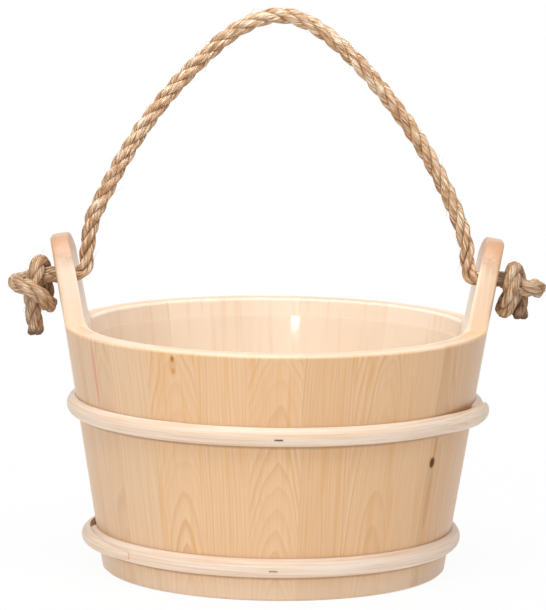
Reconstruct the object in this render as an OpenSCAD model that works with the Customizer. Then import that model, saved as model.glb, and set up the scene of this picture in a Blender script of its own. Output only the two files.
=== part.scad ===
// Coopered sauna bucket. Tapered staves stand round a bottom board, two of them run on above
// the rim as ears, two lapped half-round hoops bind them, a plastic liner drops inside, and a
// rope handle goes through both ears with a knot outside each.
// The ears are on X, the front faces -Y and the foot stands on Z = 0.

/* [Bucket] */
// Outer diameter across the rim
rim_d = 265; // [250:1:290]
// Outer diameter across the foot
foot_d = 215; // [200:1:235]
// Height of the rim above the floor
rim_z = 154; // [145:1:175]
// Thickness of the wall, measured level
wall_t = 14; // [12:0.5:17]
// Radius that eases the rim's two edges
rim_round = 2; // [1:0.5:4]
// Chamfer round the foot's two edges
foot_chamfer = 1.5; // [0.5:0.5:3]

/* [Staves] */
// Number of plain staves between the ears, on each side
side_staves = 11; // [9:1:13]

/* [Ears] */
// Width of an ear stave at the rim
ear_w = 46; // [40:1:52]
// Height of an ear above the rim
ear_rise = 55.5; // [50:0.5:65]
// Thickness of an ear just above the rim
ear_root_t = 12.8; // [11:0.2:13.6]
// Thickness of an ear at its top
ear_top_t = 11.4; // [9:0.2:12]
// How far an ear's outer face leaves the line of the wall at its top
ear_flare = 0.6; // [0:0.1:1.5]
// Radius of an ear's two shoulders
ear_round = 17; // [10:1:19]
// Height of the hollow curve where an ear meets the wall
ear_cove = 8; // [5:1:12]

/* [Bottom board] */
// Thickness of the board, and the width of its groove
board_t = 10; // [8:1:14]
// Height of the groove's lower face above the floor
groove_z = 12; // [8:1:20]
// Depth of the groove in the wall
groove_depth = 4; // [3:0.5:6]
// Space left round the board at the bottom of the groove
board_gap = 0.3; // [0.2:0.1:0.6]

/* [Liner] */
// Height of the liner's edge below the rim
liner_drop = 11; // [6:1:20]
// Thickness of the liner
liner_t = 1.5; // [1:0.1:2.5]
// Space between the liner and the wall
liner_gap = 0.4; // [0.3:0.1:0.8]
// Outer radius between the liner's wall and its floor
liner_round = 8; // [5:1:14]

/* [Hoops] */
// Height of the half-round rod that makes a hoop
hoop_h = 12; // [9:0.5:15]
// Thickness of the half-round rod
hoop_t = 6.2; // [5:0.1:7]
// Height of the upper hoop's middle
upper_hoop_z = 104; // [95:1:115]
// Height of the lower hoop's middle
lower_hoop_z = 21.5; // [18:0.5:40]
// Angle over which the upper hoop's two ends lie on each other
upper_lap = 16; // [16:4:36]
// The same for the lower hoop
lower_lap = 36; // [24:4:52]
// Thickness of a blunt hoop end
blunt_end = 3.6; // [2.5:0.1:4]
// Thickness of the feathered end of the lower hoop
thin_end = 1.2; // [1:0.1:2]
// How far the blunt end of the upper hoop sags below its middle line
hoop_sag = 1.5; // [0:0.5:2]

/* [Staples] */
// Width of a staple's crown
staple_w = 5.2; // [4:0.2:8]
// Width of the flat wire
staple_wire_w = 0.9; // [0.8:0.1:1.6]
// Thickness of the flat wire
staple_wire_t = 0.8; // [0.6:0.1:1]
// Length of a staple's legs
staple_leg = 12; // [11:0.5:14]

/* [Rope] */
// Diameter of the rope
rope_d = 9.5; // [8:0.1:10]
// Space round the rope in the holes of the ears
rope_gap = 0.6; // [0.4:0.1:0.9]
// Height of the rope holes above the rim
hole_rise = 30; // [28:1:36]

/* [Hidden] */
$fn = 144;
LEFT = 180;
RIGHT = 0;
FRONT = 270;
BACK = 90;

rim_r = rim_d / 2;
foot_r = foot_d / 2;
wall_slope = (rim_r - foot_r) / rim_z;
lean = atan(wall_slope);
ear_top = rim_z + ear_rise;
ear_lean = atan(wall_slope + (ear_root_t - ear_top_t + ear_flare) / ear_rise);
hole_z = rim_z + hole_rise;
hole_d = rope_d + 2 * rope_gap;
ear_angle = 2 * asin(ear_w / rim_d);
stave_angle = (180 - ear_angle) / side_staves;
groove_top = groove_z + board_t;
groove_r = foot_r + wall_slope * groove_z - wall_t + groove_depth;
liner_top = rim_z - liner_drop;
round_steps = 6;
// How far the outline of an ear stands over its top, so that it only cuts the shoulders
ear_ease = 0.1;

// Angle between two sections of a hoop, and the angle over which it climbs onto its own end
hoop_step = 4;
hoop_climb = 28;
hoop_sides = 8;
// Space that keeps the flats of a hoop off the round wall, and its two ends apart
hoop_seat = 0.05;
lap_gap = 0.1;
// A staple stands this far out of the hoop, in a pocket with this much space round it
staple_proud = 0.3;
staple_gap = 0.05;

// Angle of each hoop's outer end, and the angles of its staples
upper_end = RIGHT + 1;
lower_end = LEFT + 41;
upper_staples = [BACK, FRONT + 1];
lower_staples = [BACK, FRONT];

// Route of the rope above the middle of the holes: distance along X, height above the holes
rope_sides = 10;
arch_route = [
    [-131, 0], [-126.4, 0], [-123.5, 0.6], [-121.1, 2.2], [-119.6, 5], [-119.1, 9], [-118.6, 15],
    [-117.8, 22], [-115, 36], [-107, 53], [-97, 72], [-84, 93], [-69, 113], [-51, 133], [-31, 151],
    [-15, 160], [-3, 163], [9, 162], [21, 157], [35, 147], [52, 131], [69, 111], [84, 91],
    [96, 72], [105.5, 54], [113, 37], [117.8, 22], [118.6, 15], [119.1, 9], [119.6, 5],
    [121.1, 2.2], [123.5, 0.6], [126.4, 0], [131, 0]
];
// Route of a knot: distance out from the bucket's axis, distance back, height above the hole
knot_loop = [
    [131, 0, 0], [139, 0, 0], [145, -1, -1.5], [151, -6, -3], [157.5, -8.5, -4.5], [162.5, -3, -5.5],
    [162, 6, -5.5], [156.5, 12.5, -6.5], [149, 14.5, -10], [144, 10, -16]
];
knot_end = [
    [149, 14.5, -10], [144, 10, -16], [142, 0.5, -19], [144.4, -9.5, -15], [145.8, -13.5, -5],
    [146.8, -11, 3.5], [148, -4, 6.4], [149.8, 3, 4], [151.6, 5, -6], [152.6, 3.5, -17]
];
left_tail = [[151.4, 1.5, -28], [150, 1, -39]];
right_tail = [[152.4, 2, -20], [152.2, 2, -25]];

function stave_name(i) = str("stave_", i < 10 ? "0" : "", i);

function outer_r(z) = foot_r + wall_slope * z;
function inner_r(z) = outer_r(z) - wall_t;

// Points of an arc in the plane of a profile
function arc(r, z, radius, from, to) = [
    for (k = [0 : round_steps])
        let (a = from + (to - from) * k / round_steps) [r + radius * cos(a), z + radius * sin(a)]
];

// Inner side of a stave from the groove down to the foot
function groove_and_foot() = [
    [inner_r(groove_top), groove_top],
    [groove_r, groove_top],
    [groove_r, groove_z],
    [inner_r(groove_z), groove_z],
    [inner_r(foot_chamfer), foot_chamfer],
    [inner_r(0) + foot_chamfer, 0],
    [outer_r(0) - foot_chamfer, 0],
    [outer_r(foot_chamfer), foot_chamfer]
];

// Rounded edge between the wall and its top, on the outside or on the inside. The top is level,
// or falls outwards by the angle slant.
function outer_edge(r, z, slant) = arc(r, z, rim_round, -lean, 90 - slant);
function inner_edge(r, z, tilt, slant) = arc(r, z, rim_round, 90 - slant, 180 - tilt);

function plain_profile() =
    let (z = rim_z - rim_round, inset = rim_round / cos(lean))
        concat(
            outer_edge(outer_r(z) - inset, z, 0),
            inner_edge(inner_r(z) + inset, z, lean, 0),
            groove_and_foot()
        );

// Inner face of an ear: straight from the top down, then a hollow curve out to the wall
function ear_outer_r(z) = outer_r(z) + ear_flare * (z - rim_z) / ear_rise;
function ear_face(z) =
    let (
        share = (z - rim_z) / ear_rise,
        face_t = ear_root_t + (ear_top_t - ear_root_t) * share,
        turn = min(1, max(0, (rim_z + ear_cove - z) / ear_cove))
    ) ear_outer_r(z) - face_t - (wall_t - face_t) * (1 - sqrt(1 - turn * turn));

// Middle of the rounding at an ear's inner top edge, and how far the top falls to the outer one
ear_edge_z = ear_top - rim_round;
ear_edge_r = ear_face(ear_edge_z) + rim_round / cos(ear_lean);
ear_fall = (ear_outer_r(ear_edge_z) - rim_round / cos(lean) - ear_edge_r) * sin(lean) * cos(lean);

function ear_profile() =
    let (z = ear_edge_z - ear_fall)
        concat(
            outer_edge(ear_outer_r(z) - rim_round / cos(lean), z, lean),
            inner_edge(ear_edge_r, ear_edge_z, ear_lean, lean),
            [for (k = [round_steps : -1 : 0]) let (z = rim_z + ear_cove * k / round_steps) [ear_face(z), z]],
            groove_and_foot(),
            [[outer_r(rim_z), rim_z]]
        );

// Staves that are fixed by a staple have its leg holes
module staple_holes_within(from, to) {
    for (a = upper_staples)
        if (faces(a, from, to)) staple_at(upper_hoop_z, a, upper_crest(a), staple_gap);
    for (a = lower_staples)
        if (faces(a, from, to)) staple_at(lower_hoop_z, a, lower_crest(a), staple_gap);
}

function turn_of(a) = a - 360 * floor(a / 360);
function faces(a, from, to) = turn_of(a - from) < to - from;

module stave(i) {
    half = i <= side_staves ? RIGHT : LEFT;
    place = i <= side_staves ? i - 1 : i - 1 - side_staves;
    from = half + ear_angle / 2 + place * stave_angle;
    color([0.90, 0.76, 0.57])
    difference() {
        rotate([0, 0, from]) rotate_extrude(angle = stave_angle) polygon(plain_profile());
        staple_holes_within(from, from + stave_angle);
    }
}

// Outline of an ear from its top down, with round shoulders
module ear_outline() {
    shoulder = ear_w / 2 - ear_round;
    translate([-ear_w / 2, -2 * ear_top]) square([ear_w, 2 * ear_top - ear_round]);
    translate([-shoulder, -2 * ear_top]) square([2 * shoulder, 2 * ear_top]);
    for (side = [-1, 1])
        translate([side * shoulder, -ear_round]) circle(r = ear_round);
}

// Space that an ear fills: the outline pushed through square to its outer face
module ear_space() {
    translate([ear_edge_r, 0, ear_edge_z]) rotate([0, lean, 0]) translate([-rim_d / 2, 0, rim_round + ear_ease])
        rotate([90, 0, 90]) linear_extrude(height = rim_d) ear_outline();
}

module ear_stave(middle) {
    from = middle - ear_angle / 2;
    color([0.90, 0.76, 0.57])
    difference() {
        intersection() {
            rotate([0, 0, from]) rotate_extrude(angle = ear_angle) polygon(ear_profile());
            rotate([0, 0, middle]) ear_space();
        }
        rotate([0, 0, middle]) translate([0, 0, hole_z]) rotate([0, 90, 0])
            cylinder(d = hole_d, h = rim_d);
        staple_holes_within(from, from + ear_angle);
    }
}

module bottom_board() {
    color([0.88, 0.74, 0.55])
    translate([0, 0, groove_z]) cylinder(r = groove_r - board_gap, h = board_t);
}

module liner() {
    floor_z = groove_top;
    wall_r = inner_r(floor_z) - liner_gap;
    top_r = inner_r(liner_top) - liner_gap;
    inner_round = liner_round - liner_t;
    color([0.95, 0.92, 0.87, 0.5])
    rotate_extrude() polygon(concat(
        [[0, floor_z]],
        arc(wall_r + wall_slope * liner_round - liner_round, floor_z + liner_round, liner_round, -90, 0),
        [[top_r, liner_top], [top_r - liner_t, liner_top]],
        arc(wall_r + wall_slope * liner_round - liner_round, floor_z + liner_round, inner_round, 0, -90),
        [[0, floor_z + liner_t]]
    ));
}

// Faces of a swept solid, given as rings that turn the same way about the direction of travel
function swept_faces(rings, sides) = concat(
    [[for (k = [0 : sides - 1]) k]],
    [for (i = [0 : rings - 2]) for (k = [0 : sides - 1])
        let (next = (k + 1) % sides)
            [i * sides + k, (i + 1) * sides + k, (i + 1) * sides + next, i * sides + next]],
    [[for (k = [sides - 1 : -1 : 0]) (rings - 1) * sides + k]]
);

// A hoop is followed from its inner end, at 0, once round and over that end
function inner_end_t(s, inner, lap) = s < lap ? inner + (hoop_t - inner) * s / lap : hoop_t;
function climb(s) = let (x = max(0, (s - 360 + hoop_climb) / hoop_climb)) x * x * (3 - 2 * x);
function hoop_lift(s, inner, lap) =
    s >= 360 ? inner_end_t(s - 360, inner, lap) + lap_gap : climb(s) * (inner + lap_gap);
function hoop_round_t(s, outer, lap) = s > 360 ? hoop_t + (outer - hoop_t) * (s - 360) / lap : hoop_t;
function hoop_crest(s, inner, outer, lap) = hoop_lift(s, inner, lap) + hoop_round_t(s, outer, lap);
function hoop_play(z) = outer_r(z) * (1 - cos(hoop_step / 2)) + hoop_seat;

// Point on a hoop: out from the wall, up along it, and round
function on_wall(z, out, up, a) =
    let (r = outer_r(z) + out * cos(lean) + up * sin(lean))
        [r * cos(a), r * sin(a), z - out * sin(lean) + up * cos(lean)];

// The outer end gets narrower as its back is planed away
function half_h(s, outer, lap) = hoop_h / 2 * sqrt(hoop_round_t(s, outer, lap) / hoop_t);

module lapped_hoop(z, end, lap, inner, outer, sag) {
    whole = 360 + lap;
    rings = whole / hoop_step;
    points = [
        for (i = [0 : rings]) for (k = [0 : hoop_sides])
            let (
                s = i * hoop_step,
                swell = hoop_round_t(s, outer, lap) * sin(180 * k / hoop_sides),
                out = hoop_play(z) + hoop_lift(s, inner, lap) + min(swell, inner_end_t(s, inner, lap)),
                up = half_h(s, outer, lap) * cos(180 * k / hoop_sides) - sag * max(0, s - 360) / lap
            ) on_wall(z, out, up, end - whole + s)
    ];
    polyhedron(points, swept_faces(rings + 1, hoop_sides + 1), convexity = 6);
}

// Crest of each hoop over a given place on the wall
function lap_s(a, end, lap) = 360 + lap - turn_of(end - a);
function upper_crest(a) = hoop_crest(lap_s(a, upper_end, upper_lap), blunt_end, blunt_end, upper_lap);
function lower_crest(a) = hoop_crest(lap_s(a, lower_end, lower_lap), blunt_end, thin_end, lower_lap);

// A staple with its crown along the hoop, or the space for it
module staple_at(z, a, crest, gap) {
    out = hoop_play(z) + crest + staple_proud;
    leg = staple_leg + staple_wire_t;
    rotate([0, 0, a]) translate([outer_r(z), 0, z]) rotate([0, lean, 0]) translate([out, 0, 0]) {
        translate([-staple_wire_t - gap, -staple_w / 2 - gap, -staple_wire_w / 2 - gap])
            cube([staple_wire_t + 2 * gap, staple_w + 2 * gap, staple_wire_w + 2 * gap]);
        for (side = [-1, 1])
            translate([-leg - gap, side * (staple_w - staple_wire_t) / 2, 0])
                translate([0, -staple_wire_t / 2 - gap, -staple_wire_w / 2 - gap])
                    cube([leg, staple_wire_t + 2 * gap, staple_wire_w + 2 * gap]);
    }
}

module upper_hoop() {
    color([0.93, 0.83, 0.66])
    difference() {
        lapped_hoop(upper_hoop_z, upper_end, upper_lap, blunt_end, blunt_end, hoop_sag);
        for (a = upper_staples) staple_at(upper_hoop_z, a, upper_crest(a), staple_gap);
    }
}

module lower_hoop() {
    color([0.93, 0.83, 0.66])
    difference() {
        lapped_hoop(lower_hoop_z, lower_end, lower_lap, blunt_end, thin_end, 0);
        for (a = lower_staples) staple_at(lower_hoop_z, a, lower_crest(a), staple_gap);
    }
}

module hoop_staples() {
    color([0.36, 0.34, 0.32]) {
        for (a = upper_staples) staple_at(upper_hoop_z, a, upper_crest(a), 0);
        for (a = lower_staples) staple_at(lower_hoop_z, a, lower_crest(a), 0);
    }
}

// A round tube along a route, each ring square to the way that the route runs there
function unit(v) = v / norm(v);
function headings(p) = [
    for (i = [0 : len(p) - 1]) unit(p[min(i + 1, len(p) - 1)] - p[max(i - 1, 0)])
];
function square_to(v, t) = unit(v - (v * t) * t);
function carried(t, found) =
    len(found) == len(t) ? found
    : carried(t, concat(found, [square_to(found[len(found) - 1], t[len(found)])]));

module tube(route, d, sides) {
    t = headings(route);
    n = carried(t, [square_to([0, 1, 0.01], t[0])]);
    points = [
        for (i = [0 : len(route) - 1]) for (k = [0 : sides - 1])
            let (a = 360 * k / sides)
                route[i] + d / 2 * (cos(a) * n[i] + sin(a) * cross(t[i], n[i]))
    ];
    polyhedron(points, swept_faces(len(route), sides), convexity = 6);
}

// The right knot is the left one turned half round the bucket's axis
module knot(tail) {
    tube(knot_loop, rope_d, rope_sides);
    tube(concat(knot_end, tail), rope_d, rope_sides);
}

module rope_handle() {
    color([0.71, 0.58, 0.39])
    translate([0, 0, hole_z]) {
        tube([for (p = arch_route) [p[0], 0, p[1]]], rope_d, rope_sides);
        knot(right_tail);
        rotate([0, 0, 180]) knot(left_tail);
    }
}

for (i = [1 : 2 * side_staves])
    stave(i);
ear_stave(LEFT);  // ear_stave_left
ear_stave(RIGHT);  // ear_stave_right
bottom_board();
liner();
upper_hoop();
lower_hoop();
hoop_staples();
rope_handle();
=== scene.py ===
"""Sauna bucket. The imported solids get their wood, plastic and steel, the ears and hoops are redrawn
with soft edges, and the rope handle becomes three laid strands with its knots. Metres throughout."""

import math

import bmesh
import bpy
from mathutils import Matrix, Vector


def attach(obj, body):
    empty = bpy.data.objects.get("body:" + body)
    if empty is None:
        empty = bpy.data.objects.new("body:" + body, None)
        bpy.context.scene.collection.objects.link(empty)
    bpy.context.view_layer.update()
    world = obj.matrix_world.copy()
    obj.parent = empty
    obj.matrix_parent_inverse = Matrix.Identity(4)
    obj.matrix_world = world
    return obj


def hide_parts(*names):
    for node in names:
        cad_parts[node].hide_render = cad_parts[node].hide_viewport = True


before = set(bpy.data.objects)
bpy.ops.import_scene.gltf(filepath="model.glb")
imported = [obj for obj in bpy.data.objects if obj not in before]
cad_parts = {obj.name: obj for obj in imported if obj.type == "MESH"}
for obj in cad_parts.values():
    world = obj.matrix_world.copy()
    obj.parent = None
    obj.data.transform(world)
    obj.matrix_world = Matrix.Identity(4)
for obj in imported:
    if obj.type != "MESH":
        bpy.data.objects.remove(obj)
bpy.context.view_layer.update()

MM = 0.001

# Sizes that the scene shares with the part
RIM_R = 132.5 * MM
FOOT_R = 107.5 * MM
RIM_Z = 154 * MM
WALL = 14 * MM
EAR_W = 46 * MM
SIDE_STAVES = 11
SLOPE = (RIM_R - FOOT_R) / RIM_Z
LEAN = math.atan(SLOPE)
EAR_ANGLE = 2 * math.degrees(math.asin(EAR_W / 2 / RIM_R))
STAVE_ANGLE = (180 - EAR_ANGLE) / SIDE_STAVES
HOLE_Z = 184 * MM
UPPER_HOOP_Z = 104 * MM
LOWER_HOOP_Z = 21.5 * MM
HOOP_H = 12 * MM
HOOP_T = 6.2 * MM
# Degrees before its lap in which a hoop climbs onto its own inner end
HOOP_CLIMB = 28
BLUNT_END = 3.6 * MM
THIN_END = 1.2 * MM
HOOP_SAG = 1.5 * MM
ROPE_D = 9.5 * MM


def add_object(name, data):
    """A new object in the scene that holds a mesh, a lamp or a camera."""
    made = bpy.data.objects.new(name, data)
    bpy.context.scene.collection.objects.link(made)
    return made


def clamp(value):
    return max(0.0, min(1.0, value))


def share_of(number, salt):
    """A fixed value from 0 to 1 for each number, so that pieces differ and stay the same each run."""
    wave = math.sin(number * 12.9898 + salt * 78.233) * 43758.5453
    return wave - math.floor(wave)


# Camera

# Its place and angles come from a fit to the photograph's rim, foot, ears and hoops
CAMERA_PLACE = (0, -2.5, 0.5174)
PITCH = math.radians(8.0)
YAW = math.radians(-0.05)
ROLL = math.radians(0.7)
SENSOR_W = 36
LENS = 266


def add_camera():
    ahead = Vector((math.sin(YAW) * math.cos(PITCH), math.cos(YAW) * math.cos(PITCH), -math.sin(PITCH)))
    level = Vector((math.cos(YAW), -math.sin(YAW), 0))
    above = level.cross(ahead)
    right = level * math.cos(ROLL) + above * math.sin(ROLL)
    up = above * math.cos(ROLL) - level * math.sin(ROLL)
    data = bpy.data.cameras.new("camera")
    data.sensor_fit = "HORIZONTAL"
    data.sensor_width = SENSOR_W
    data.lens = LENS
    data.clip_end = 50
    camera = add_object("camera", data)
    turned = Matrix((right, up, -ahead)).transposed()
    camera.matrix_world = Matrix.Translation(CAMERA_PLACE) @ turned.to_4x4()
    bpy.context.scene.camera = camera


# Nodes

# Short names of the surface's sockets
SURFACE = {
    "colour": "Base Color",
    "roughness": "Roughness",
    "metallic": "Metallic",
    "alpha": "Alpha",
    "specular": "Specular IOR Level",
    "coat": "Coat Weight",
    "coat_roughness": "Coat Roughness",
}


class Nodes:
    """A node tree and short ways to add to it. A value may be a number, a colour or a socket."""

    def __init__(self, tree):
        self.tree = tree

    def put(self, socket, value):
        if isinstance(value, bpy.types.NodeSocket):
            self.tree.links.new(value, socket)
        else:
            socket.default_value = value

    def add(self, kind, *values, **settings):
        node = self.tree.nodes.new(kind)
        for name, value in settings.items():
            setattr(node, name, value)
        for socket, value in zip(node.inputs, values):
            self.put(socket, value)
        return node

    def here(self):
        """Place on the object."""
        return self.add("ShaderNodeTexCoord").outputs["Object"]

    def point_value(self, name, output="Fac"):
        """Value that the mesh keeps for its points under this name."""
        return self.add("ShaderNodeAttribute", attribute_name=name).outputs[output]

    def place(self, vector, move=(0, 0, 0), turn=(0, 0, 0), stretch=(1, 1, 1)):
        return self.add("ShaderNodeMapping", vector, move, turn, stretch).outputs[0]

    def parts(self, vector):
        return self.add("ShaderNodeSeparateXYZ", vector).outputs[:3]

    def join(self, *parts):
        return self.add("ShaderNodeCombineXYZ", *parts).outputs[0]

    def length(self, vector):
        return self.add("ShaderNodeVectorMath", vector, operation="LENGTH").outputs["Value"]

    def math(self, operation, *values):
        return self.add("ShaderNodeMath", *values, operation=operation).outputs[0]

    def largest(self, first, *others):
        for other in others:
            first = self.math("MAXIMUM", first, other)
        return first

    def sway(self, value, size):
        """A value from 0 to 1 as a shift of up to half the size either way."""
        return self.math("MULTIPLY", self.math("SUBTRACT", value, 0.5), size)

    def noise(self, vector, scale, detail=2.0, rough=0.5):
        node = self.add("ShaderNodeTexNoise")
        for name, value in (("Vector", vector), ("Scale", scale), ("Detail", detail), ("Roughness", rough)):
            self.put(node.inputs[name], value)
        return node.outputs["Fac"]

    def range(self, value, low, high, to_low=0.0, to_high=1.0):
        node = self.add("ShaderNodeMapRange", value, low, high, to_low, to_high)
        node.interpolation_type = "SMOOTHSTEP"
        return node.outputs[0]

    def ramp(self, value, *stops):
        node = self.add("ShaderNodeValToRGB", value)
        steps = node.color_ramp.elements
        while len(steps) < len(stops):
            steps.new(1.0)
        for step, (place, tint) in zip(steps, stops):
            step.position = place
            step.color = tint
        return node.outputs[0]

    def mix(self, share, a, b, blend="MIX"):
        node = self.add("ShaderNodeMix", data_type="RGBA", blend_type=blend)
        for number, value in ((0, share), (6, a), (7, b)):
            self.put(node.inputs[number], value)
        return node.outputs[2]

    def background_seen(self):
        """1 for the rays that show the white background: from the camera, mirrored or let through."""
        rays = self.add("ShaderNodeLightPath").outputs
        return self.largest(rays["Is Camera Ray"], rays["Is Glossy Ray"], rays["Is Transmission Ray"])


class Shader(Nodes):
    """One material, with the nodes that its surface takes its values from."""

    def __init__(self, name):
        self.material = bpy.data.materials.new(name)
        self.material.use_nodes = True
        super().__init__(self.material.node_tree)
        self.surface = self.tree.nodes["Principled BSDF"]

    def look(self, **values):
        for name, value in values.items():
            self.put(self.surface.inputs[SURFACE[name]], value)

    def bump(self, height, strength, distance):
        node = self.add("ShaderNodeBump")
        for name, value in (("Height", height), ("Strength", strength), ("Distance", distance)):
            self.put(node.inputs[name], value)
        self.put(self.surface.inputs["Normal"], node.outputs[0])


def colour(red, green, blue):
    """A colour as it looks on screen, 0 to 255, as the linear value that nodes take."""
    def linear(level):
        level /= 255
        return level / 12.92 if level <= 0.04045 else ((level + 0.055) / 1.055) ** 2.4
    return (linear(red), linear(green), linear(blue), 1.0)


# Pine of the staves

EARLY = colour(243, 207, 167)
MIDDLE = colour(239, 199, 156)
LATE = colour(222, 172, 122)
HEART = colour(236, 190, 142)
GOLDEN = colour(230, 178, 112)
# Pale colour of the painted light
PAINTED_LIGHT = colour(255, 240, 222)
END_GRAIN = colour(192, 138, 98)
HOOP_SHADE = colour(150, 106, 70)
KNOT_BROWN = colour(88, 44, 0)
KNOT_GOLD = colour(214, 150, 68)
RESIN = colour(212, 154, 92)
RED_STREAK = colour(224, 150, 116)
PALE_JOINT = colour(250, 226, 196)

COAT = 0.6
# Length of a stave from its foot to the rim, and where the ears' tops turn dark
RIM_ALONG = 156 * MM
EAR_PALE_ALONG = 188 * MM
EAR_DARK_ALONG = 207 * MM
# Length along a stave to the painted shadow line below each hoop
UNDER_HOOPS = (99.2 * MM, 15.6 * MM)

# Flat-sawn staves show arched grain. Each has its grain as pine() takes it, in millimetres
ARCHED = {
    3: ((-10, 2), 0.12, 1.9),
    6: ((-8, -1), 0.11, 2.0),
    9: ((-12, 1), 0.13, 1.8),
    13: ((-14, 8), 0.07, 2.2),
    15: ((-8, 1.6), 0.11, 1.9),
    17: ((-9, 1.2), 0.13, 1.8),
    19: ((-8, 4.3), 0.09, 2.0),
    21: ((-16, -9), 0.05, 2.2),
}
# The grain of the ears, in the same way
EAR_LEFT_GRAIN = ((-20, -3), 0.05, 2.4)
EAR_RIGHT_GRAIN = ((-22, 6), 0.05, 2.4)
# The staves at the two edges of the front are painted a little darker, as painted shade
EDGE_SHADE_TONES = {12: 0.93, 13: 0.93, 21: 0.92, 22: 0.9}
# These two at the left of the front are painted paler as well, a painted sheen of the light from the left
LIT_PALE_STAVES = (13, 14)
# What marks a stave: place across and up, half width and height in millimetres, colour, strength
MARKS = {
    13: [(-1.2, 134, 2.2, 26, RED_STREAK, 0.75)],
    15: [(2.2, 146, 3.2, 8, RESIN, 0.35), (2.2, 151, 1.9, 3.2, KNOT_GOLD, 0.9),
         (2.2, 151, 1.0, 1.9, KNOT_BROWN, 0.5), (2.4, 143.5, 1.7, 2.6, KNOT_GOLD, 0.8)],
    17: [(-1.4, 157, 7.5, 0.9, PALE_JOINT, 0.6)],
    21: [(-10, 93, 1.7, 14, RESIN, 0.9), (-9.5, 58, 3.2, 24, RESIN, 0.6),
         (-11, 81.2, 4.6, 6.4, RESIN, 0.5), (-11, 81.2, 3.1, 4.2, KNOT_BROWN, 1.0)],
}


def stave_place(wood, angle):
    """Place in a stave: out of its face, across it, and along it from its foot."""
    turned = Matrix.Rotation(-LEAN, 3, "Y") @ Matrix.Rotation(-math.radians(angle), 3, "Z")
    foot = (-FOOT_R * math.cos(LEAN), 0, -FOOT_R * math.sin(LEAN))
    return wood.place(wood.here(), foot, tuple(turned.to_euler("XYZ")))


def year_rings(wood, at, shift, angle, pith, rise, ring):
    """The number of the year's ring at each place, and a value that differs from year to year."""
    depth, side, along = wood.parts(at)
    deep = wood.math("ADD", wood.math("MULTIPLY_ADD", along, rise, -pith[0] * MM), depth)
    wide = wood.math("SUBTRACT", side, pith[1] * MM)
    square = wood.math("ADD", wood.math("MULTIPLY", deep, deep), wood.math("MULTIPLY", wide, wide))
    waves = wood.noise(wood.place(at, shift, stretch=(1, 1, 0.22)), 34)
    radius = wood.math("ADD", wood.math("SQRT", square), wood.sway(waves, 9 * MM))
    year = wood.noise(wood.join(radius, angle), 210, detail=1)
    number = wood.math("ADD", wood.math("DIVIDE", radius, ring * MM), wood.math("MULTIPLY", year, 1.6))
    return number, year


def painted_light_share(wood, at, streaks, lit_pale, is_ear):
    """Painted light: how much paler the wood is painted inside the bucket, on the rim's top, at the foot
    and behind the face, where light falls on it.
    """
    depth, _, along = wood.parts(at)
    # Painted light on the inner face, streaked with the grain
    inner_face = wood.range(depth, 1 * MM - WALL, 4 * MM - WALL, 1.0, 0.0)
    inside = wood.math("MULTIPLY", inner_face, wood.range(streaks, 0.34, 0.48, 0.66, 0.87))
    # Painted light on the rim's top, lit from above
    rim = wood.range(along, RIM_ALONG - 2 * MM, RIM_ALONG, 0.0, 0.0 if is_ear else 0.55)
    # Painted light at the foot, lit from the floor
    foot = wood.range(along, 6 * MM, 20 * MM, 0.35, 0.0)
    # Painted light behind the face of some staves and the ears, with a third of it on the face
    behind = wood.range(depth, -5 * MM, -1 * MM, lit_pale, lit_pale / 3)
    return wood.largest(inside, rim, foot, behind)


def shade_under_hoops(wood, at, base):
    """The wood with a painted shadow line on its face under each hoop."""
    depth, _, along = wood.parts(at)
    face = wood.range(depth, -5 * MM, -3 * MM, 0.0, 0.5)
    for edge in UNDER_HOOPS:
        near = wood.math("MULTIPLY", wood.range(along, edge - 2.6 * MM, edge - 0.8 * MM),
                         wood.range(along, edge + 5 * MM, edge + 6 * MM, 1.0, 0.0))
        base = wood.mix(wood.math("MULTIPLY", near, face), base, HOOP_SHADE)
    return base


def add_marks(wood, at, fibres, base, marks):
    """The wood with its knots and streaks, and its coat, which is thinner on a brown knot."""
    coat = COAT
    for side, up, half_w, half_h, tint, strength in marks:
        offset = wood.place(at, (0, -side * MM, -up * MM))
        scaled = wood.place(offset, stretch=(0, 1 / (half_w * MM), 1 / (half_h * MM)))
        reach = wood.math("ADD", wood.length(scaled), wood.sway(fibres, 0.5))
        base = wood.mix(wood.range(reach, 0.55, 1.0, strength, 0.0), base, tint)
        if tint == KNOT_BROWN:
            coat = wood.range(reach, 0.55, 1.0, COAT * (1 - strength), COAT)
    return base, coat


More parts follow.
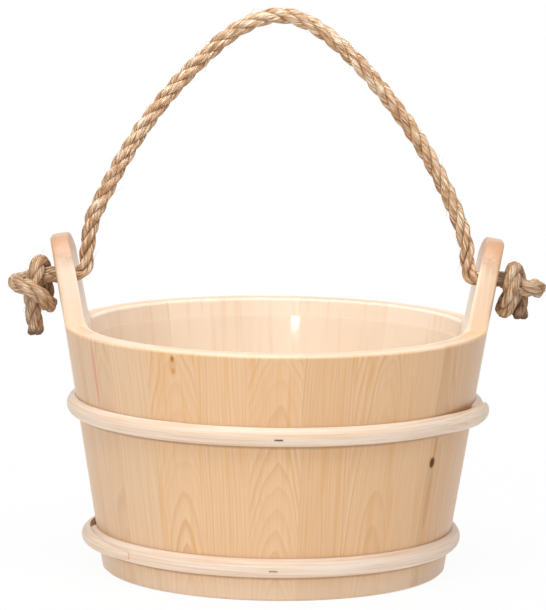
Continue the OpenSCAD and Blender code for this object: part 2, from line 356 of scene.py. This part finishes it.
def pine(name, angle, grain, contrast, tone=1.0, lit_pale=0.0, marks=(), is_ear=False):
    """Pine of the stave at this angle. grain is where the tree's middle is, out of the stave's face and
    to its side, how fast it sinks behind the face with height, and how far apart the rings are."""
    wood = Shader(name)
    at = stave_place(wood, angle)
    shift = (0, 0, angle * 0.37)
    number, year = year_rings(wood, at, shift, angle, *grain)
    fibres = wood.noise(wood.place(at, shift, stretch=(1, 1, 0.02)), 1400)
    clouds = wood.noise(wood.place(at, shift, stretch=(1, 1, 0.3)), 26)
    streaks = wood.noise(wood.place(at, shift, stretch=(1, 1, 0.06)), 190)
    in_ring = wood.math("FRACT", number)
    rings = wood.ramp(in_ring, (0.0, EARLY), (0.45, MIDDLE), (0.82, LATE), (0.90, LATE), (1.0, EARLY))
    base = wood.mix(wood.range(year, 0.35, 0.7, 0.25 * contrast, contrast), MIDDLE, rings)
    base = wood.mix(wood.range(clouds, 0.42, 0.72, 0.0, 0.45), base, HEART)
    base = wood.mix(wood.range(fibres, 0.36, 0.64, 0.0, 0.26), base, LATE)
    base = wood.mix(wood.range(streaks, 0.54, 0.68, 0.0, 0.45), base, GOLDEN)
    # Painted light: paler where light falls
    base = wood.mix(painted_light_share(wood, at, streaks, lit_pale, is_ear), base, PAINTED_LIGHT)
    base = shade_under_hoops(wood, at, base)
    # Tone of the stave, which differs from stave to stave and is painted shade on the edge staves
    shade = colour(*[255 - (1 - tone) * drop for drop in (150, 220, 320)])
    base = wood.mix(1.0, base, shade, "MULTIPLY")
    base, coat = add_marks(wood, at, fibres, base, marks)
    if is_ear:
        height = wood.math("ADD", wood.parts(at)[2], wood.sway(fibres, 10 * MM))
        dark = wood.range(height, EAR_PALE_ALONG, EAR_DARK_ALONG, 0.0, 0.85)
        base = wood.mix(dark, base, END_GRAIN)
    wood.look(colour=base, roughness=wood.range(fibres, 0.2, 0.8, 0.42, 0.56), specular=0.2,
              coat=coat, coat_roughness=0.3)
    wood.bump(wood.math("ADD", wood.math("MULTIPLY", in_ring, 0.4), fibres), 0.12, 0.15 * MM)
    return wood.material


# Other materials

GLUED_BOARD_W = 66 * MM


def board_pine():
    """Pine of the bottom board, glued up from three flat-sawn boards that run along X."""
    wood = Shader("bottom_pine")
    at = wood.here()
    across = wood.math("DIVIDE", wood.math("ADD", wood.parts(at)[1], GLUED_BOARD_W / 2), GLUED_BOARD_W)
    number = wood.math("FLOOR", across)
    offset = wood.join(wood.math("MULTIPLY", number, 0.7), 0.0, number)
    moved = wood.add("ShaderNodeVectorMath", at, offset, operation="ADD").outputs[0]
    waves = wood.noise(wood.place(moved, stretch=(0.12, 1, 1)), 30)
    fibres = wood.noise(wood.place(moved, stretch=(0.02, 1, 1)), 1400)
    in_ring = wood.math("FRACT", wood.math("MULTIPLY", waves, 16))
    base = wood.ramp(in_ring, (0.0, EARLY), (0.5, MIDDLE), (0.85, LATE), (1.0, EARLY))
    base = wood.mix(wood.range(fibres, 0.3, 0.7, 0.0, 0.2), base, LATE)
    from_middle = wood.math("ABSOLUTE", wood.math("SUBTRACT", wood.math("FRACT", across), 0.5))
    base = wood.mix(wood.range(from_middle, 0.492, 0.5, 0.0, 0.6), base, colour(150, 104, 66))
    wood.look(colour=base, roughness=0.55)
    wood.bump(fibres, 0.12, 0.15 * MM)
    return wood.material


def hoop_wood(name, start):
    """Peeled and planed rod, paler than the staves, with its fibres along the hoop. It has painted shade
    where it meets the wall, deeper on its lower side."""
    wood = Shader(name)
    at = wood.place(wood.point_value("run", "Vector"), (start, 0, 0))
    fibres = wood.noise(wood.place(at, stretch=(0.018, 1, 1)), 950, 3, 0.6)
    bands = wood.noise(wood.place(at, stretch=(0.03, 1, 1)), 260)
    clouds = wood.noise(at, 22)
    base = wood.mix(wood.range(bands, 0.35, 0.7), colour(247, 229, 212), colour(241, 215, 190))
    base = wood.mix(wood.range(fibres, 0.42, 0.66, 0.0, 0.6), base, colour(226, 190, 152))
    base = wood.mix(wood.range(clouds, 0.5, 0.8, 0.0, 0.35), base, colour(236, 204, 172))
    _, up, out = wood.parts(at)
    # Painted shade on the lower side next to the wall, and a painted shadow line along both edges where the
    # rod meets the wall
    under = wood.math("MULTIPLY", wood.range(out, 2 * MM, 3.6 * MM, 0.8, 0.0),
                      wood.range(up, -2 * MM, 0.0, 1.0, 0.0))
    contact_shade = wood.math("MAXIMUM", under, wood.range(out, 0.3 * MM, 1.3 * MM, 0.4, 0.0))
    base = wood.mix(contact_shade, base, colour(140, 100, 66))
    wood.look(colour=base, roughness=0.48, specular=0.2, coat=0.2, coat_roughness=0.25)
    wood.bump(fibres, 0.2, 0.2 * MM)
    return wood.material


def clear_liner():
    """Milky, glossy sheet that lets the wood show faintly."""
    sheet = Shader("liner_plastic")
    waves = sheet.noise(sheet.place(sheet.here(), stretch=(1, 1, 0.5)), 18)
    base = sheet.mix(sheet.range(waves, 0.3, 0.7), colour(255, 247, 234), colour(255, 243, 226))
    sheet.look(colour=base, roughness=0.3, alpha=0.12, specular=0.1, coat=1.0, coat_roughness=0.04)
    sheet.bump(waves, 0.04, 1 * MM)
    return sheet.material


def dark_wire():
    """Dull wire of the staples, with more rust on those of the lower hoop."""
    wire = Shader("staple_steel")
    at = wire.here()
    rust = wire.noise(at, 900, 3)
    base = wire.mix(wire.range(rust, 0.4, 0.7), colour(112, 92, 78), colour(150, 120, 96))
    low = wire.range(wire.parts(at)[2], 40 * MM, 80 * MM, 0.7, 0.0)
    base = wire.mix(low, base, colour(196, 160, 132))
    wire.look(colour=base, roughness=0.45, metallic=0.7)
    wire.bump(rust, 0.2, 0.1 * MM)
    return wire.material


def sisal(name, shade):
    """Sisal strands: pale and brown fibres that run with the rope, with painted shade between the strands.
    """
    rope = Shader(name)
    at = rope.point_value("run", "Vector")
    fibres = rope.noise(rope.place(at, stretch=(0.1, 1, 1)), 1200, 3, 0.7)
    yarns = rope.noise(rope.place(at, stretch=(0.1, 1, 1)), 520)
    clouds = rope.noise(at, 45)
    base = rope.ramp(
        fibres, (0.34, colour(126, 88, 58)), (0.43, colour(188, 146, 108)),
        (0.52, colour(222, 188, 150)), (0.61, colour(255, 242, 220)))
    base = rope.mix(rope.range(yarns, 0.42, 0.66, 0.0, 0.5), base, colour(178, 134, 96))
    base = rope.mix(rope.range(clouds, 0.45, 0.75, 0.0, 0.3), base, colour(198, 148, 110))
    # Painted shade between the strands, deepest nearest the rope's middle
    base = rope.mix(rope.range(rope.point_value("reach"), 0.5, 0.8, 0.5, 0.0), base, colour(122, 84, 52))
    base = rope.mix(shade, base, colour(120, 84, 54))
    base = rope.mix(rope.math("MULTIPLY", rope.point_value("tip"), 0.8), base, colour(92, 74, 62))
    rope.look(colour=base, roughness=0.85, specular=0.2)
    rope.bump(rope.math("ADD", fibres, rope.math("MULTIPLY", yarns, 1.5)), 0.8, 0.5 * MM)
    return rope.material


# Meshes

EAR_EDGE_R = 1.1 * MM
# Edges that lie nearer than this to the middle of an ear's hole stay sharp
SHARP_BY_HOLE = 7 * MM
# Gaps between the liner and the board, a hoop and the wall, and the two ends of a hoop
LINER_GAP = 0.2 * MM
WALL_GAP = 0.13 * MM
LAP_GAP = 0.1 * MM
# Degrees over which the end of a hoop is rounded off
HOOP_END = 0.9


def cover(piece, material):
    piece.data.materials.clear()
    piece.data.materials.append(material)


def new_piece(name, points, faces, runs, material, slot, body, **levels):
    """A smooth mesh object. runs is the fibre place of each point, and levels are other point values."""
    mesh = bpy.data.meshes.new(name)
    mesh.from_pydata([tuple(p) for p in points], [], faces)
    run = mesh.attributes.new("run", "FLOAT_VECTOR", "POINT")
    run.data.foreach_set("vector", [value for r in runs for value in r])
    for level, values in levels.items():
        mesh.attributes.new(level, "FLOAT", "POINT").data.foreach_set("value", values)
    mesh.shade_smooth()
    mesh.materials.append(material)
    piece = add_object(name, mesh)
    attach(piece, body)
    return piece


def copy_of(node, name):
    """A piece with its own copy of the node's mesh."""
    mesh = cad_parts[node].data.copy()
    mesh.name = name
    return add_object(name, mesh)


def tube_faces(rings, sides, first=0):
    """Faces of a closed tube whose points run ring by ring, with both ends capped."""
    faces = [tuple(first + k for k in range(sides))]
    for i in range(rings - 1):
        for k in range(sides):
            here = first + i * sides + k
            beside = first + i * sides + (k + 1) % sides
            faces.append((here, here + sides, beside + sides, beside))
    last = first + (rings - 1) * sides
    faces.append(tuple(last + k for k in reversed(range(sides))))
    return faces


def soft_ear(node):
    """The ear stave with its long edges and top rounded above the rim, but not round its hole."""
    piece = copy_of(node, node + "_soft")
    shape = bmesh.new()
    shape.from_mesh(piece.data)
    bmesh.ops.remove_doubles(shape, verts=shape.verts, dist=0.01 * MM)
    edges = [
        edge for edge in shape.edges
        if len(edge.link_faces) == 2
        and min(v.co.z for v in edge.verts) > RIM_Z + 1 * MM
        and math.degrees(edge.calc_face_angle(0)) > 40
        and any(math.hypot(v.co.y, v.co.z - HOLE_Z) > SHARP_BY_HOLE for v in edge.verts)
    ]
    bmesh.ops.bevel(
        shape, geom=edges, offset=EAR_EDGE_R, segments=3, profile=0.5, affect="EDGES", clamp_overlap=True)
    shape.to_mesh(piece.data)
    shape.free()
    piece.data.shade_smooth()
    piece.data.set_sharp_from_angle(angle=math.radians(35))
    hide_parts(node)
    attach(piece, "bucket")
    return piece


def standing_liner():
    """The liner with its underside just clear of the board, so that the wood shows through evenly."""
    piece = copy_of("liner", "liner_clear")
    lowest = min(v.co.z for v in piece.data.vertices)
    for v in piece.data.vertices:
        if v.co.z < lowest + 0.05 * MM:
            v.co.z += LINER_GAP
    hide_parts("liner")
    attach(piece, "bucket")
    return piece


def hoop(name, node, material, z, end, lap, inner, outer, sag):
    """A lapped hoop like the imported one, with a rounder section and softened ends. It runs round from
    its inner end to its outer end, which lies over it at the angle end. lap is the angle over which
    they lie on each other, inner and outer are how thick they are, and sag is how far the outer one
    drops. Angles are in degrees."""
    step = 1.5
    sides = 20
    whole = 360 + lap
    count = int(whole / step) + 1
    radius = FOOT_R + SLOPE * z
    points, runs = [], []
    for i in range(count):
        run = min(i * step, whole)
        lapped = max(0, run - 360) / lap
        under = inner + (HOOP_T - inner) * min(1, run / lap)
        over = HOOP_T + (outer - HOOP_T) * lapped
        climb = clamp((run - 360 + HOOP_CLIMB) / HOOP_CLIMB)
        lift = climb * climb * (3 - 2 * climb) * (inner + LAP_GAP) + (HOOP_T - inner) * lapped
        from_end = clamp(min(run, whole - run) / HOOP_END)
        soft = 0.8 + 0.2 * math.sqrt(from_end * (2 - from_end))
        angle = math.radians(end - whole + run)
        for k in range(sides):
            turn = math.pi * k / (sides - 1)
            out = WALL_GAP + lift + min(over * math.sin(turn) ** 0.9, under) * soft
            up = HOOP_H / 2 * math.sqrt(over / HOOP_T) * math.cos(turn) * soft - sag * lapped
            r = radius + out * math.cos(LEAN) + up * math.sin(LEAN)
            height = z - out * math.sin(LEAN) + up * math.cos(LEAN)
            points.append((r * math.cos(angle), r * math.sin(angle), height))
            runs.append((radius * math.radians(run), up, out))
    piece = new_piece(name, points, tube_faces(count, sides), runs, material, "hoop_wood", "bucket")
    piece.data.set_sharp_from_angle(angle=math.radians(50))
    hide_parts(node)
    return piece


# Rope

# Route of the rope in millimetres, above the middle of the holes: along X, and up
ARCH = [
    (-131, 0), (-126.4, 0), (-123.5, 0.6), (-121.1, 2.2), (-119.6, 5), (-119.1, 9), (-118.6, 15),
    (-117.8, 22), (-115, 36), (-107, 53), (-97, 72), (-84, 93), (-69, 113), (-51, 133), (-31, 151),
    (-15, 160), (-3, 163), (9, 162), (21, 157), (35, 147), (52, 131), (69, 111), (84, 91),
    (96, 72), (105.5, 54), (113, 37), (117.8, 22), (118.6, 15), (119.1, 9), (119.6, 5),
    (121.1, 2.2), (123.5, 0.6), (126.4, 0), (131, 0),
]
# Route of a knot: out from the bucket's axis, back, and up from the hole
KNOT = [
    (131, 0, 0), (139, 0, 0), (145, -1, -1.5), (151, -6, -3), (157.5, -8.5, -4.5), (162.5, -3, -5.5),
    (162, 6, -5.5), (156.5, 12.5, -6.5), (149, 14.5, -10), (144, 10, -16), (142, 0.5, -19),
    (144.4, -9.5, -15), (145.8, -13.5, -5), (146.8, -11, 3.5), (148, -4, 6.4), (149.8, 3, 4),
    (151.6, 5, -6), (152.6, 3.5, -17),
]
LEFT_TAIL = [(151.4, 1.5, -28), (150, 1, -39)]
RIGHT_TAIL = [(152.4, 2, -20), (152.2, 2, -25)]

ROPE_STEP = 1.1 * MM
LAY = 37 * MM
# The knots are laid a little fuller than the arch
KNOT_D = ROPE_D * 1.13
# How much thicker the arch's strands are away from its ends
ARCH_SWELL = 0.14
# Between these distances from the bucket's middle the rope passes an ear
EAR_NEAR = 115 * MM
EAR_FAR = 143 * MM


def smooth_route(route, step):
    """Points a step apart on a smooth curve through the route."""
    ends = [route[0] * 2 - route[1]] + route + [route[-1] * 2 - route[-2]]
    dense = []
    for a, b, c, d in zip(ends, ends[1:], ends[2:], ends[3:]):
        for k in range(20):
            t = k / 20
            dense.append(0.5 * (
                b * 2 + (c - a) * t + (a * 2 - b * 5 + c * 4 - d) * t ** 2
                + (b * 3 - a - c * 3 + d) * t ** 3))
    dense.append(route[-1])
    even = [dense[0]]
    left = step
    for here, there in zip(dense, dense[1:]):
        gap = (there - here).length
        while left <= gap:
            even.append(here.lerp(there, left / gap))
            left += step
        left -= gap
    return even


def carried_frames(line):
    """Direction and a side vector at each point, the side carried along without twist."""
    frames = []
    side = Vector((0, 1, 0.01))
    for i in range(len(line)):
        ahead = (line[min(i + 1, len(line) - 1)] - line[max(i - 1, 0)]).normalized()
        side = (side - ahead * side.dot(ahead)).normalized()
        frames.append((ahead, side))
    return frames


def laid_rope(name, route, diameter, material, start_turn=0.0, tip_length=0.0, close=0.0, swell=0.0):
    """Three strands laid right-handed round the route, with a dark tip at its far end. Their fibres
    turn the other way, so that outside they run along the rope. close is how near the strands lie to
    each other, and swell is how much thicker they are away from the ends."""
    sides = 20
    line = smooth_route(route, ROPE_STEP)
    frames = carried_frames(line)
    length = ROPE_STEP * (len(line) - 1)
    strand_r = diameter * (0.234 + 0.03 * close)
    off = diameter * (0.268 - 0.03 * close)
    twist = 2 * math.pi * off / LAY / strand_r
    points, faces, runs, reaches, tips = [], [], [], [], []
    for strand in range(3):
        faces += tube_faces(len(line), sides, len(points))
        for i, (centre, (ahead, side)) in enumerate(zip(line, frames)):
            run = i * ROPE_STEP
            to_end = length - run
            turn = start_turn + 2 * math.pi * (run / LAY + strand / 3)
            out = side * math.cos(turn) + ahead.cross(side) * math.sin(turn)
            round_it = ahead.cross(out)
            # Laid strands are a little uneven along their length
            size = 1 + 0.05 * math.sin(i * 0.19 + strand * 2.1) + 0.03 * math.sin(i * 0.53 + strand)
            size += swell * clamp((min(run, to_end) - 25 * MM) / (20 * MM))
            tip = 0.0
            if tip_length:
                size *= 0.55 + 0.45 * math.sqrt(clamp(to_end / (2 * MM)))
                tip = clamp(2 - 2 * to_end / tip_length)
            for k in range(sides):
                around = 2 * math.pi * k / sides
                fibre = around + twist * run
                # Their yarns show as low ridges
                ridge = 1 + 0.05 * math.cos(5 * fibre + strand) + 0.03 * math.cos(9 * fibre + i * 0.11)
                thick = strand_r * size * ridge
                spot = out * (off + thick * math.cos(around - turn))
                spot += round_it * (1.1 * thick * math.sin(around - turn))
                points.append(centre + spot)
                runs.append((run, strand_r * math.cos(fibre) + strand * 0.05, strand_r * math.sin(fibre)))
                reaches.append(min(1.0, spot.length / (diameter / 2)))
                tips.append(tip)
    piece = new_piece(
        name, points, faces, runs, material, "sisal_rope", "handle", reach=reaches, tip=tips)
    return piece, line, frames


def stray_fibres(name, ropes, material):
    """Short hairs that stand out of the rope, except where they would brush an ear."""
    shares = [k / 3 for k in range(4)]
    points, faces, runs = [], [], []
    number = 0
    for _, line, frames in ropes:
        for i in range(6, len(line) - 6, 2):
            number += 1
            ahead, side = frames[i]
            other = ahead.cross(side)
            turn = 2 * math.pi * share_of(number, 1)
            out = side * math.cos(turn) + other * math.sin(turn)
            along = ahead * (1 if share_of(number, 2) > 0.5 else -1)
            reach = (1 + 3 * share_of(number, 3) ** 2) * MM
            run = (3 + 5 * share_of(number, 4)) * MM
            bend = other.cross(out).normalized() * (share_of(number, 5) - 0.5) * 2 * MM
            spots = [
                line[i] + out * (ROPE_D * 0.47 + reach * t ** 1.5) + along * run * t + bend * t * t
                for t in shares
            ]
            if any(EAR_NEAR < abs(spot.x) < EAR_FAR for spot in spots):
                continue
            faces += tube_faces(len(spots), 3, len(points))
            for t, spot in zip(shares, spots):
                thin = 0.11 * MM * (1 - 0.7 * t)
                for k in range(3):
                    around = 2 * math.pi * k / 3
                    points.append(
                        spot + out * thin * math.cos(around) + ahead.cross(out) * thin * math.sin(around))
                    runs.append((i * MM + run * t, number * 0.01, k * 0.001))
    full = [1.0] * len(points)
    none = [0.0] * len(points)
    return new_piece(name, points, faces, runs, material, "sisal_rope", "handle", reach=full, tip=none)


def above_hole(x, y, z):
    return Vector((x * MM, y * MM, z * MM + HOLE_Z))


def add_rope():
    material = sisal("sisal_rope", 0.0)
    knot_material = sisal("sisal_knots", 0.3)
    arch = [above_hole(x, 0, z) for x, z in ARCH]
    right = [above_hole(*p) for p in KNOT + RIGHT_TAIL]
    left = [above_hole(-x, -y, z) for x, y, z in KNOT + LEFT_TAIL]
    ropes = [
        laid_rope("rope_arch", arch, ROPE_D, material, swell=ARCH_SWELL),
        laid_rope("right_knot", right, KNOT_D, knot_material, start_turn=2.0, tip_length=4 * MM, close=1.0),
        laid_rope("left_knot", left, KNOT_D, knot_material, start_turn=0.6, tip_length=5 * MM, close=1.0),
    ]
    fuzz = stray_fibres("rope_fibres", ropes, material)
    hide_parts("rope_handle")


# Bucket

def dress_staves():
    for i in range(1, 2 * SIDE_STAVES + 1):
        place = (i - 1) % SIDE_STAVES
        angle = (0 if i <= SIDE_STAVES else 180) + EAR_ANGLE / 2 + (place + 0.5) * STAVE_ANGLE
        side = 1 if share_of(i, 6) > 0.5 else -1
        far_pith = (-18 - 16 * share_of(i, 7), side * (52 + 30 * share_of(i, 8)))
        grain = ARCHED.get(i, (far_pith, 0.03, 1.9 + 0.8 * share_of(i, 9)))
        contrast = 0.72 if i in ARCHED else 0.55
        tone = EDGE_SHADE_TONES.get(i, 0.95 + 0.05 * share_of(i, 10))
        lit_pale = 0.5 if i in LIT_PALE_STAVES else 0.0
        name = "stave_%02d" % i
        cover(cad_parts[name], pine(
            name + "_pine", angle, grain, contrast, tone, lit_pale, MARKS.get(i, ())))


def dress_ears():
    # The ears are painted paler as painted light, the left ear more than the right one, which is in shade
    for node, angle, grain, lit_pale in (
            ("ear_stave_left", 180, EAR_LEFT_GRAIN, 0.7), ("ear_stave_right", 0, EAR_RIGHT_GRAIN, 0.4)):
        cover(soft_ear(node), pine(
            node + "_pine", angle, grain, contrast=0.6, lit_pale=lit_pale, is_ear=True))


def dress_rest():
    cover(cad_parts["bottom_board"], board_pine())
    cover(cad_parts["hoop_staples"], dark_wire())
    cover(standing_liner(), clear_liner())
    hoop("upper_hoop_rod", "upper_hoop", hoop_wood("upper_hoop_wood", 0.0), UPPER_HOOP_Z,
         end=1, lap=16, inner=BLUNT_END, outer=BLUNT_END, sag=HOOP_SAG)
    hoop("lower_hoop_rod", "lower_hoop", hoop_wood("lower_hoop_wood", 3.0), LOWER_HOOP_Z,
         end=221, lap=36, inner=BLUNT_END, outer=THIN_END, sag=0)


# Studio

WHITE = (1, 1, 1, 1)
FLOOR_HALF = 4.0
# Share of its own white that the floor gives off, and the world's strength, for what lights the bucket
FLOOR_GLOW = 0.25
WORLD_GLOW = 0.3

# Flat lamps: name, place, width, height, watts
FLAT_LAMPS = (
    ("top_lamp", (-0.1, -0.3, 1.6), 1.2, 1.2, 16),
    ("left_lamp", (-1.5, -0.1, 0.6), 1.2, 1.2, 0.8),
    ("front_lamp", (-0.5, -2.0, 0.7), 1.2, 1.2, 8.8),
    ("glint_lamp", (-0.545, -2.45, 0.608), 0.26, 0.006, 0.8),
)
FLAT_LAMP_TARGET = (0, 0, 0.12)


def add_floor():
    """White paper that keeps the bucket's shadow, and is as white as the world away from it."""
    mesh = bpy.data.meshes.new("floor")
    corners = [(x * FLOOR_HALF, y * FLOOR_HALF, 0) for x, y in ((-1, -1), (1, -1), (1, 1), (-1, 1))]
    mesh.from_pydata(corners, [], [(0, 1, 2, 3)])
    floor = add_object("floor", mesh)
    paper = Shader("floor_paper")
    at = paper.here()
    paper.look(
        colour=paper.mix(paper.noise(at, 60), (0.9, 0.9, 0.9, 1), (0.94, 0.94, 0.94, 1)), roughness=0.9)
    away = paper.range(paper.length(at), 0.2, 0.6, 0.95, 1.0)
    share = paper.math("MAXIMUM", paper.math("MULTIPLY", paper.background_seen(), away), FLOOR_GLOW)
    white = paper.add("ShaderNodeEmission", WHITE, 1.0).outputs[0]
    both = paper.add("ShaderNodeMixShader", share, paper.surface.outputs[0], white)
    paper.put(paper.tree.nodes["Material Output"].inputs["Surface"], both.outputs[0])
    mesh.materials.append(paper.material)


def add_world():
    world = bpy.data.worlds.new("studio")
    world.use_nodes = True
    bpy.context.scene.world = world
    nodes = Nodes(world.node_tree)
    background = nodes.tree.nodes["Background"]
    nodes.put(background.inputs["Color"], WHITE)
    nodes.put(background.inputs["Strength"],
              nodes.range(nodes.background_seen(), 0.0, 1.0, WORLD_GLOW, 1.0))


def add_lamp(name, kind, place, target, power):
    data = bpy.data.lights.new(name, kind)
    data.energy = power
    lamp = add_object(name, data)
    lamp.location = place
    aim = Vector(target) - lamp.location
    lamp.rotation_euler = aim.to_track_quat("-Z", "Y").to_euler()
    return data


def add_lamps():
    """Flat lamps outside, and two spots from above that light the far wall inside the bucket."""
    for name, place, width, height, power in FLAT_LAMPS:
        data = add_lamp(name, "AREA", place, FLAT_LAMP_TARGET, power)
        data.shape = "RECTANGLE"
        data.size = width
        data.size_y = height
    for name, side in (("inside_lamp_left", -1), ("inside_lamp_right", 1)):
        data = add_lamp(name, "SPOT", (0.3 * side, -0.7, 1.2), (-0.04 * side, 0.07, 0.13), 30)
        data.spot_size = math.radians(20)
        data.spot_blend = 0.9
        data.shadow_soft_size = 0.25


def set_render():
    bpy.context.scene.view_settings.view_transform = "Standard"
    # The liner's two faces use up four of these for each time that light crosses the bucket
    bpy.context.scene.cycles.transparent_max_bounces = 32


add_camera()
add_rope()
dress_staves()
dress_ears()
dress_rest()
add_floor()
add_world()
add_lamps()
set_render()
